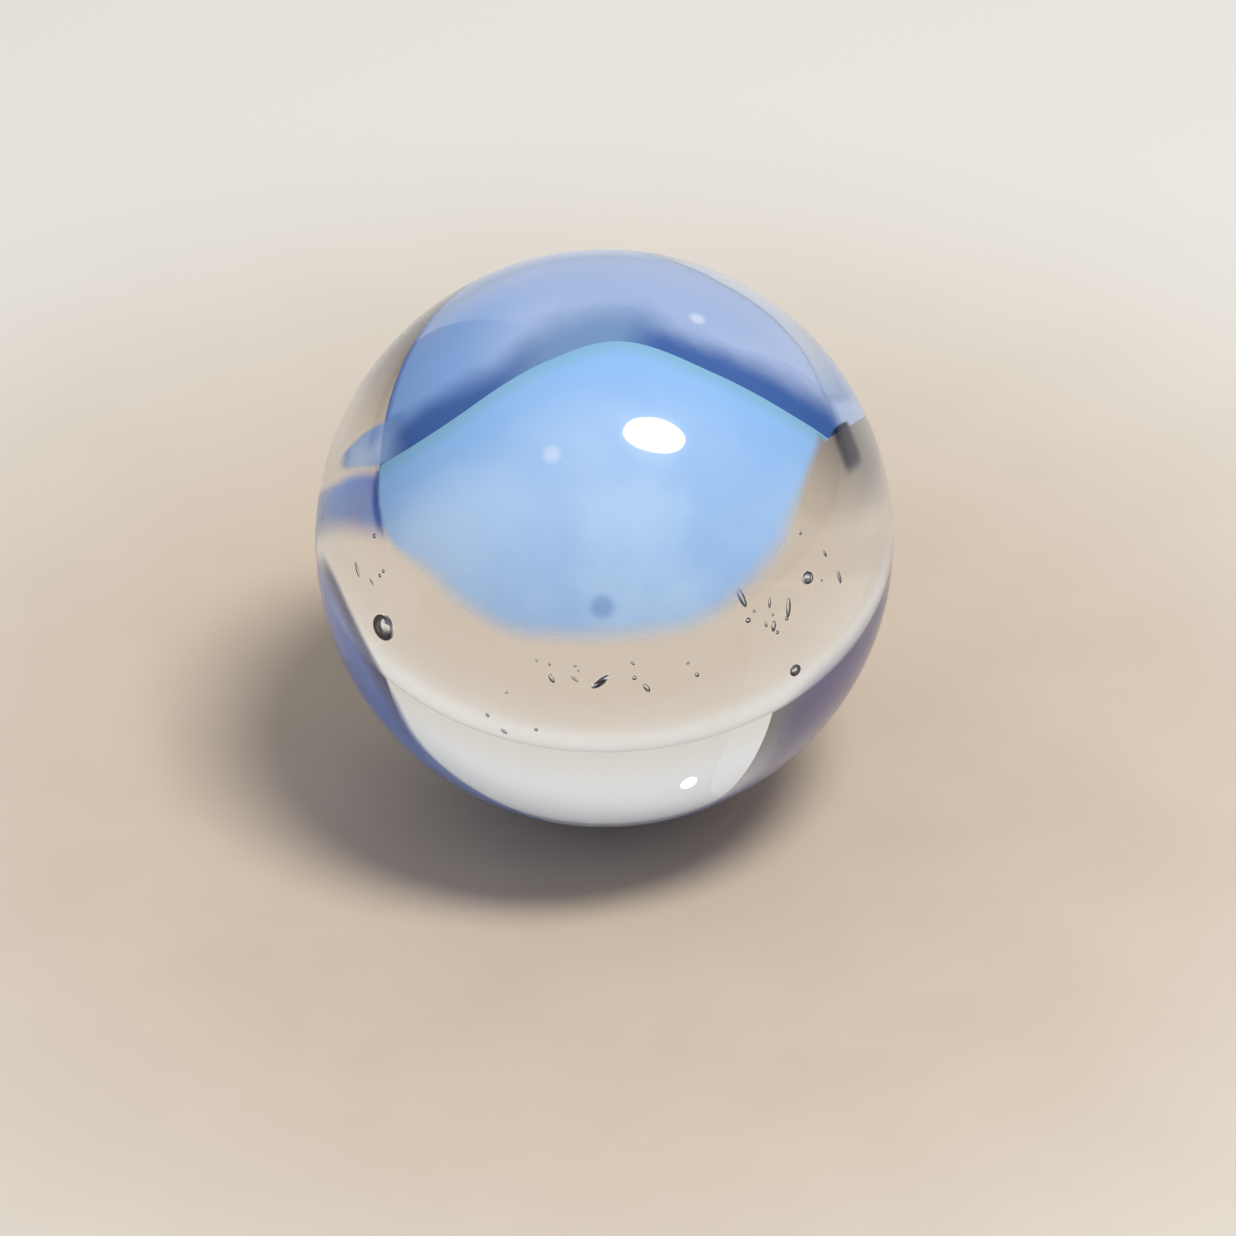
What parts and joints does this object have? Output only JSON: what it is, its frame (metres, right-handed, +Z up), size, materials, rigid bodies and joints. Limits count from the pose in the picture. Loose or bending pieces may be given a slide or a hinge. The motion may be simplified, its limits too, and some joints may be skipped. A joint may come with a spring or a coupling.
{
  "type": "glass marble",
  "caption": "Solid glass ball for play or as a free-rolling weight, with opaque blue glass laid into its skin and small gas seeds inside.",
  "frame": {"origin": "centre of the ball", "axes": "+Z up, with the pale cap of coloured glass on top; -Y front, where the blue shows most; every axis through the centre is a symmetry axis of the ball"},
  "size_m": [0.016, 0.016, 0.016],
  "materials": {
    "clear_glass": "polished",
    "blue_opal_glass": "polished"
  },
  "bodies": {
    "root": {"marble": "clear_glass"}
  },
  "joints": []
}
